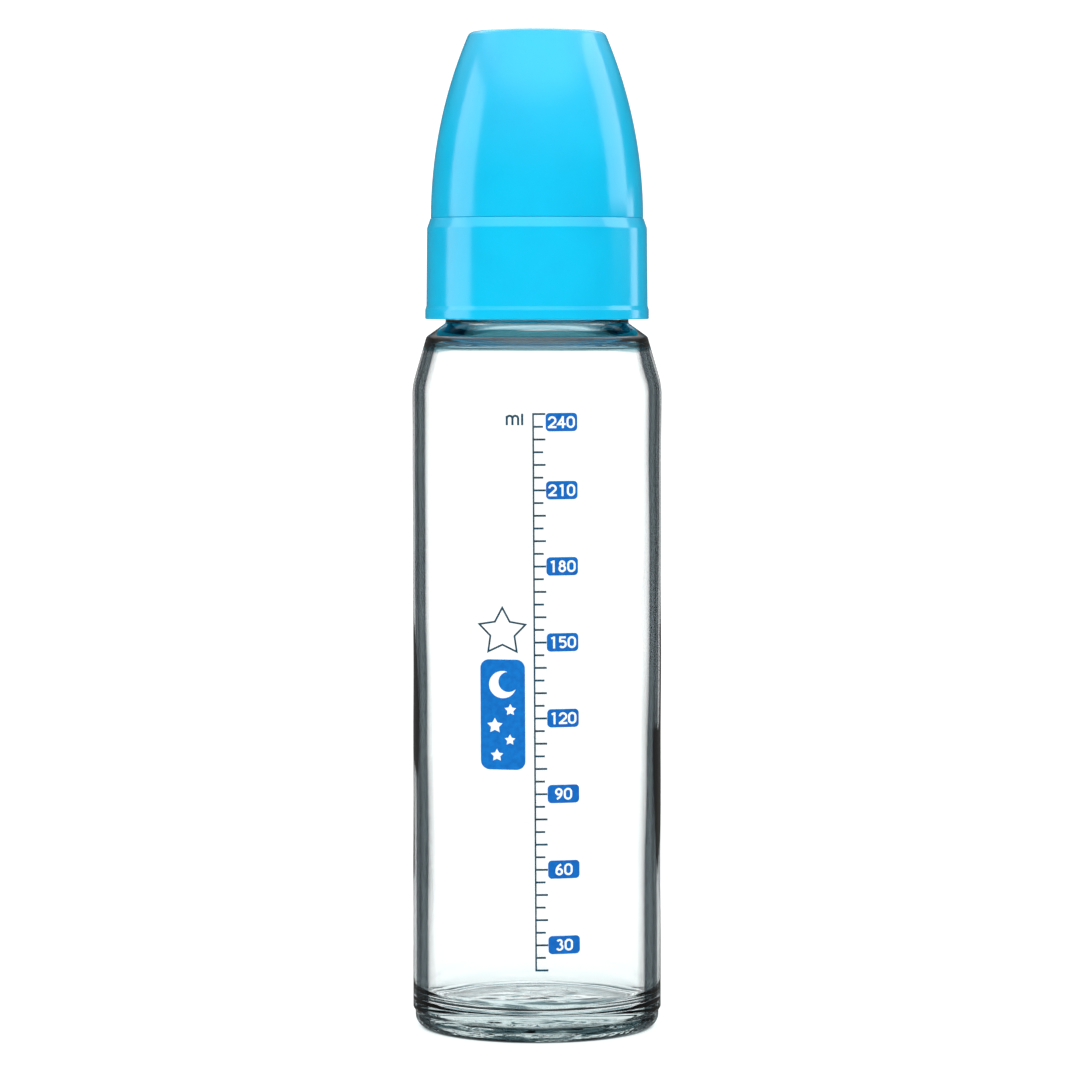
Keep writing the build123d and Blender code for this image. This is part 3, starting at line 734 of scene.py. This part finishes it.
def gloss_plastic(name, low, high):
    """Moulded polypropylene: colour that drifts a little, fine flow marks and soft gloss."""
    material, tree = new_material(name)
    shader = node(tree, "BsdfPrincipled", IOR=1.49)
    shader.inputs["Specular IOR Level"].default_value = 0.4
    shader.inputs["Subsurface Weight"].default_value = 0.12
    shader.inputs["Subsurface Radius"].default_value = (0.2, 0.8, 1.0)
    shader.inputs["Subsurface Scale"].default_value = 0.002
    drift = noise(tree, scale=60, detail=4)
    tree.links.new(ramp(tree, drift, [(0.3, low), (0.7, high)]), shader.inputs["Base Color"])
    wear = noise(tree, scale=300, detail=4)
    tree.links.new(remap(tree, wear, low=0.12, high=0.2), shader.inputs["Roughness"])
    marks = noise(tree, scale=900, detail=2, stretch=(1, 1, 0.08))
    relief = bump(tree, marks, strength=0.06, distance=0.0002)
    tree.links.new(relief, shader.inputs["Normal"])
    output(tree, shader.outputs["BSDF"])
    return material


GLASS_CLEAR = (0.98, 0.995, 0.995)
THIN_WALL_Z = 105.0      # the wall is thin above this height and thick below the next
THICK_WALL_Z = 40.0
THICK_SHIFT = 0.055      # how far the painted edge shade shifts in where the wall is thick
STREAK = 0.06            # how far upright streaks shift the painted edge shade
SHOULDER_BAND_Z = (147.6, 152.5)
SHOULDER_SHADE_STOPS = [       # by height in that band, painted teal and dark shade where the thick shoulder folds the light
    (0.0, (1.0, 1.0, 1.0)),
    (0.10, (0.05, 0.20, 0.25)),
    (0.36, (0.22, 0.45, 0.52)),
    (0.56, (0.004, 0.045, 0.065)),
    (0.90, (0.004, 0.045, 0.06)),
    (1.0, (1.0, 1.0, 1.0)),
]
HEEL_FADE_H = 1.0        # height over which the heel's painted dark dashes come in below the ledge
HEEL_SHADE_STOPS = [           # by noise, painted dark dashes that stand in for dark surroundings seen through the heel, with clear glass between them
    (0.42, (0.01, 0.025, 0.03)),
    (0.49, (0.06, 0.10, 0.11)),
    (0.52, (1.0, 1.0, 1.0)),
]
EDGE_SHADE_STOPS = [           # by how edge on the outside is seen, painted grey shade with darker lines, standing in for dark surroundings seen through the glass
    (0.49, GLASS_CLEAR),
    (0.58, (0.004, 0.007, 0.009)),
    (0.66, (0.012, 0.019, 0.022)),
    (0.72, (0.001, 0.002, 0.003)),
    (0.77, (0.012, 0.018, 0.021)),
    (0.81, (0.001, 0.002, 0.003)),
    (0.875, (0.70, 0.75, 0.76)),
]


def clear_glass(name):
    """Clear moulded glass, faintly green in depth, with painted shade: slate grey where it turns
    edge on, a teal band at the shoulder and dark dashes in the heel, standing in for dark
    surroundings seen through it.
    """
    material, tree = new_material(name)
    shader = node(tree, "BsdfPrincipled", Roughness=0.0, IOR=1.5)
    shader.inputs["Transmission Weight"].default_value = 1.0
    # painted shade: the outside greys where it is seen edge on, in upright streaks, standing in
    # for dark surroundings refracted at its edges; the bore stays clear
    angle = node(tree, "LayerWeight", Blend=0.5)
    streaked = node(tree, "Math", operation="ADD")
    tree.links.new(angle.outputs["Facing"], streaked.inputs[0])
    streaks = noise(tree, scale=260, detail=4, stretch=(1, 1, 0.05))
    tree.links.new(remap(tree, streaks, -STREAK, STREAK), streaked.inputs[1])
    # the wall thickens downwards, so the painted grey shade starts further in and its outer rim
    # is clear
    thicker = node(tree, "Math", operation="ADD")
    tree.links.new(streaked.outputs[0], thicker.inputs[0])
    lower = by_height(tree, THIN_WALL_Z, THICK_WALL_Z, spread=6.0)
    tree.links.new(remap(tree, lower, 0.0, THICK_SHIFT), thicker.inputs[1])
    edge = ramp(tree, thicker.outputs[0], EDGE_SHADE_STOPS)
    side = node(tree, "Attribute", attribute_name="outside")
    clear_and_painted_shade = node(tree, "Mix", data_type="RGBA")
    clear_and_painted_shade.inputs[COLOUR_A].default_value = (*GLASS_CLEAR, 1)
    tree.links.new(side.outputs["Fac"], clear_and_painted_shade.inputs["Factor"])
    # painted shade: a teal and dark band round the shoulder, standing in for the light the thick
    # glass folds
    shoulder = by_height(tree, *SHOULDER_BAND_Z, spread=0.5, stretch=(1, 1, 5))
    edge = times(tree, 1.0, edge, ramp(tree, shoulder, SHOULDER_SHADE_STOPS))
    # painted shade: dark dashes round the heel below the ledge
    heel = by_height(tree, LEDGE_Z, LEDGE_Z - HEEL_FADE_H, spread=0.3)
    dashes = noise(tree, scale=70, detail=2, stretch=(1, 1, 12))
    edge = times(tree, heel, edge, ramp(tree, dashes, HEEL_SHADE_STOPS))
    tree.links.new(edge, clear_and_painted_shade.inputs[COLOUR_B])
    tree.links.new(clear_and_painted_shade.outputs[COLOUR_OUT], shader.inputs["Base Color"])
    ripple = noise(tree, scale=55, detail=2, stretch=(1, 1, 0.35))
    relief = bump(tree, ripple, strength=0.05, distance=0.001)
    tree.links.new(relief, shader.inputs["Normal"])
    clear = node(tree, "BsdfTransparent", Color=(0.93, 0.97, 0.97, 1))
    path = node(tree, "LightPath")
    either = node(tree, "Math", operation="MAXIMUM")
    tree.links.new(path.outputs["Is Shadow Ray"], either.inputs[0])
    tree.links.new(path.outputs["Is Diffuse Ray"], either.inputs[1])
    mix = node(tree, "MixShader")
    tree.links.new(either.outputs[0], mix.inputs[0])
    tree.links.new(shader.outputs["BSDF"], mix.inputs[1])
    tree.links.new(clear.outputs["BSDF"], mix.inputs[2])
    depth = node(tree, "VolumeAbsorption", Color=(0.74, 0.81, 0.81, 1), Density=34.0)
    output(tree, mix.outputs["Shader"], depth.outputs["Volume"])
    return material


def soft_silicone(name):
    """Translucent silicone with a satin skin."""
    material, tree = new_material(name)
    shader = node(tree, "BsdfPrincipled", IOR=1.41)
    shader.inputs["Transmission Weight"].default_value = 0.35
    shader.inputs["Subsurface Weight"].default_value = 0.4
    shader.inputs["Subsurface Radius"].default_value = (1.0, 0.85, 0.6)
    shader.inputs["Subsurface Scale"].default_value = 0.003
    colours = [(0.35, (0.86, 0.83, 0.74)), (0.7, (0.93, 0.91, 0.85))]
    drift = noise(tree, scale=120, detail=4)
    tree.links.new(ramp(tree, drift, colours), shader.inputs["Base Color"])
    satin = noise(tree, scale=700, detail=5)
    tree.links.new(remap(tree, satin, low=0.32, high=0.5), shader.inputs["Roughness"])
    skin = noise(tree, scale=2500, detail=3)
    relief = bump(tree, skin, strength=0.08, distance=0.0001)
    tree.links.new(relief, shader.inputs["Normal"])
    output(tree, shader.outputs["BSDF"])
    return material


def enamel(name, low, high):
    """Fired screen print: mottled colour with a slightly grained gloss."""
    material, tree = new_material(name)
    shader = node(tree, "BsdfPrincipled", IOR=1.5)
    shader.inputs["Specular IOR Level"].default_value = 0.15
    mottle = noise(tree, scale=900, detail=5)
    tree.links.new(ramp(tree, mottle, [(0.35, low), (0.65, high)]), shader.inputs["Base Color"])
    gloss = noise(tree, scale=2500, detail=3)
    tree.links.new(remap(tree, gloss, low=0.25, high=0.42), shader.inputs["Roughness"])
    grain = noise(tree, scale=4000, detail=3)
    relief = bump(tree, grain, strength=0.1, distance=0.00005)
    tree.links.new(relief, shader.inputs["Normal"])
    output(tree, shader.outputs["BSDF"])
    return material


FLOOR_GLOW = 0.25        # the floor is lit from below as well, as a light table is
FLAG = 0.10              # how bright the black flags are that glossy surfaces mirror
SHADE_CORE = 0.8         # millimetres from the bearing ring to where its shade is full, and gone
SHADE_EDGE = 2.4
SHADE_COLOUR = (0.12, 0.14, 0.15)
FLOOR_COLOUR = (0.94, 0.94, 0.94)


def pale_floor(name):
    """A plain white studio floor, with a painted contact shadow where the bottle's bearing ring
    stands.
    """
    material, tree = new_material(name)
    shader = node(tree, "BsdfPrincipled", Roughness=0.6)
    shader.inputs["Emission Color"].default_value = (1, 1, 1, 1)
    # painted contact shadow: the glass lets lamps through and casts none, so the dark under its
    # bearing ring is painted into the floor's colour, and the floor's glow fades out there too
    spot = node(tree, "TexCoord")
    far = node(tree, "VectorMath", operation="LENGTH")
    tree.links.new(spot.outputs["Object"], far.inputs[0])
    off = node(tree, "Math", operation="SUBTRACT")
    off.inputs[1].default_value = BEARING_R * MM
    tree.links.new(far.outputs["Value"], off.inputs[0])
    gap = node(tree, "Math", operation="ABSOLUTE")
    tree.links.new(off.outputs[0], gap.inputs[0])
    away = node(tree, "MapRange", interpolation_type="SMOOTHSTEP")
    away.inputs["From Min"].default_value = SHADE_CORE * MM
    away.inputs["From Max"].default_value = SHADE_EDGE * MM
    tree.links.new(gap.outputs[0], away.inputs["Value"])
    glow = remap(tree, away.outputs["Result"], 0.0, FLOOR_GLOW)
    tree.links.new(glow, shader.inputs["Emission Strength"])
    paint = ramp(tree, away.outputs["Result"], [(0.0, SHADE_COLOUR), (1.0, FLOOR_COLOUR)])
    tree.links.new(paint, shader.inputs["Base Color"])
    flag = node(tree, "Emission", Color=(FLAG, FLAG, FLAG, 1))
    mix = node(tree, "MixShader")
    tree.links.new(mirrored_ray(tree), mix.inputs[0])
    tree.links.new(shader.outputs["BSDF"], mix.inputs[1])
    tree.links.new(flag.outputs["Emission"], mix.inputs[2])
    output(tree, mix.outputs["Shader"])
    return material


# ---- the pieces ----
RIM_EDGE = 0.1           # how near the bore the outside ends, over the rim's round


def place(piece, body, cad_node, slot, material):
    """Puts a piece on its body in its CAD node's stead, with its material."""
    piece.data.materials.append(material)
    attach(piece, body)
    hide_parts(cad_node)


blue = gloss_plastic("blue_polypropylene", (0.0, 0.46, 0.74), (0.0, 0.51, 0.80))
glass_points = glass_outline()
rim_edge_r = NECK_BORE_R + RIM_EDGE
bore_row = next(
    k for k, (r, z) in enumerate(glass_points) if r < rim_edge_r and z > BEAD_TOP_Z
)
glass = turned("bottle_glass", glass_points, shape_glass, bore_from=bore_row)
place(glass, "bottle", "glass_bottle", "glass", clear_glass("soda_glass"))
ring = turned("ring_shell", ring_outline(), shape_ring, closed=True)
place(ring, "ring", "screw_ring", "blue_plastic", blue)
nipple = turned("teat_silicone", teat_outline(), closed=True, segments=TEAT_SEGMENTS)
place(nipple, "teat_carrier", "teat", "silicone", soft_silicone("satin_silicone"))
cap = turned("cap_dome", cap_outline(), shape_cap)
place(cap, "cap", "protective_cap", "blue_plastic", blue)

dark = enamel("dark_enamel_print", (0.012, 0.045, 0.075), (0.02, 0.07, 0.11))
bright = enamel("blue_enamel_print", (0.0, 0.13, 0.46), (0.0, 0.165, 0.54))
deep = enamel("deep_blue_enamel_print", (0.0, 0.105, 0.42), (0.0, 0.135, 0.49))
prints = (("scale_print", dark), ("badge_print", deep), ("panel_print", bright))
for cad_node, material in prints:
    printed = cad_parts[cad_node]
    printed.data.materials.clear()
    printed.data.materials.append(material)

# ---- stage ----
FLOOR_R = 0.6            # past the disc the white surroundings carry on
FLOOR_SIDES = 128
floor_mesh = bpy.data.meshes.new("studio_floor")
floor_angles = [2 * pi * k / FLOOR_SIDES for k in range(FLOOR_SIDES)]
floor_mesh.from_pydata(
    [(FLOOR_R * cos(t), FLOOR_R * sin(t), 0.0) for t in floor_angles],
    [],
    [list(range(FLOOR_SIDES))],
)
floor = bpy.data.objects.new("studio_floor", floor_mesh)
bpy.context.scene.collection.objects.link(floor)
floor_mesh.materials.append(pale_floor("studio_floor_paint"))


def softbox(name, azimuth, elevation, distance, width, height, power):
    """An area lamp that looks at the middle of the bottle. Azimuth 0 is the camera's side."""
    middle = Vector((0, 0, (cad_low.z + cad_high.z) / 2))
    a, e = radians(azimuth), radians(elevation)
    back = Vector((sin(a) * cos(e), -cos(a) * cos(e), sin(e)))
    lamp = bpy.data.lights.new(name, "AREA")
    lamp.shape = "RECTANGLE"
    lamp.size = width
    lamp.size_y = height
    lamp.energy = power
    holder = bpy.data.objects.new(name, lamp)
    holder.location = middle + back * distance
    holder.rotation_mode = "QUATERNION"
    holder.rotation_quaternion = back.to_track_quat("Z", "Y")
    bpy.context.scene.collection.objects.link(holder)
    return holder


# the side lamps only put strips of gloss on the plastic and the teat, and the top one is not
# mirrored in them
SIDE_DISTANCE = 0.9
glossed = bpy.data.collections.new("glossed")
for piece in (ring, cap, nipple):
    glossed.objects.link(piece)
for lamp in (
    softbox("softbox_left", -90, 6, SIDE_DISTANCE, width=0.56, height=0.9, power=4.4),
    softbox("softbox_right", 100, 24, SIDE_DISTANCE, width=0.5, height=0.55, power=2.5),
    softbox("softbox_rim", 121, -4, SIDE_DISTANCE, width=0.22, height=0.4, power=0.7),
):
    lamp.visible_diffuse = False
    lamp.light_linking.receiver_collection = glossed
top = softbox("softbox_top", 0, 58, distance=1.1, width=1.6, height=0.6, power=5.0)
top.visible_glossy = False


WHITE = 1.22             # the surroundings as they are seen, straight or through glass
SEEN_STOPS = [           # by the sine of the elevation: white all round, dim teal overhead
    (0.0, (WHITE, WHITE, WHITE)),
    (0.28, (WHITE, WHITE, WHITE)),
    (0.42, (0.20, 0.35, 0.40)),
    (1.0, (0.38, 0.47, 0.49)),
]
MIRRORED_STOPS = [       # black flags all round, a white ceiling
    (0.0, (FLAG, FLAG, FLAG)),
    (0.2, (FLAG, FLAG, FLAG)),
    (0.48, (1.1, 1.1, 1.1)),
    (0.58, (2.9, 2.9, 2.9)),
]
LIGHT_FRONT = 1.18       # how bright the surroundings light matt surfaces, in front and behind
LIGHT_BACK = 0.3


def studio_world():
    """White surroundings, with black flags where a glossy surface mirrors them."""
    world = bpy.data.worlds.new("studio_world")
    world.use_nodes = True
    tree = world.node_tree
    tree.nodes.clear()
    direction = node(tree, "TexCoord")
    split = node(tree, "SeparateXYZ")
    tree.links.new(direction.outputs["Generated"], split.inputs["Vector"])
    seen = ramp(tree, split.outputs["Z"], SEEN_STOPS)
    mirrored = ramp(tree, split.outputs["Z"], MIRRORED_STOPS)
    # by the direction's y, which is -1 on the camera's side
    lighting = node(tree, "MapRange")
    lighting.inputs["From Min"].default_value = -1
    lighting.inputs["To Min"].default_value = LIGHT_FRONT
    lighting.inputs["To Max"].default_value = LIGHT_BACK
    tree.links.new(split.outputs["Y"], lighting.inputs["Value"])
    path = node(tree, "LightPath")
    colour = seen
    for factor, other in (
        (mirrored_ray(tree), mirrored),
        (path.outputs["Is Diffuse Ray"], lighting.outputs["Result"]),
    ):
        pick = node(tree, "Mix", data_type="RGBA")
        tree.links.new(factor, pick.inputs["Factor"])
        tree.links.new(colour, pick.inputs[COLOUR_A])
        tree.links.new(other, pick.inputs[COLOUR_B])
        colour = pick.outputs[COLOUR_OUT]
    light = node(tree, "Background", Strength=1.0)
    tree.links.new(colour, light.inputs["Color"])
    out = node(tree, "OutputWorld")
    tree.links.new(light.outputs["Background"], out.inputs["Surface"])
    bpy.context.scene.world = world


studio_world()
bpy.context.scene.view_settings.view_transform = "Standard"

# ---- camera ----
CAMERA_DISTANCE = 0.96
CAMERA_HEIGHT = 0.1586
AIM_HEIGHT = 0.1063
AIM_X = 0.00065
SENSOR_W = 36.0
LENS = 147.0
lens_data = bpy.data.cameras.new("camera")
lens_data.sensor_width = SENSOR_W
lens_data.lens = LENS
lens_data.clip_start = 0.01
camera = bpy.data.objects.new("camera", lens_data)
bpy.context.scene.collection.objects.link(camera)
camera.location = (AIM_X, -CAMERA_DISTANCE, CAMERA_HEIGHT)
aim = Vector((AIM_X, 0, AIM_HEIGHT)) - camera.location
camera.rotation_mode = "QUATERNION"
camera.rotation_quaternion = aim.to_track_quat("-Z", "Y")
bpy.context.scene.camera = camera

bpy.context.view_layer.update()
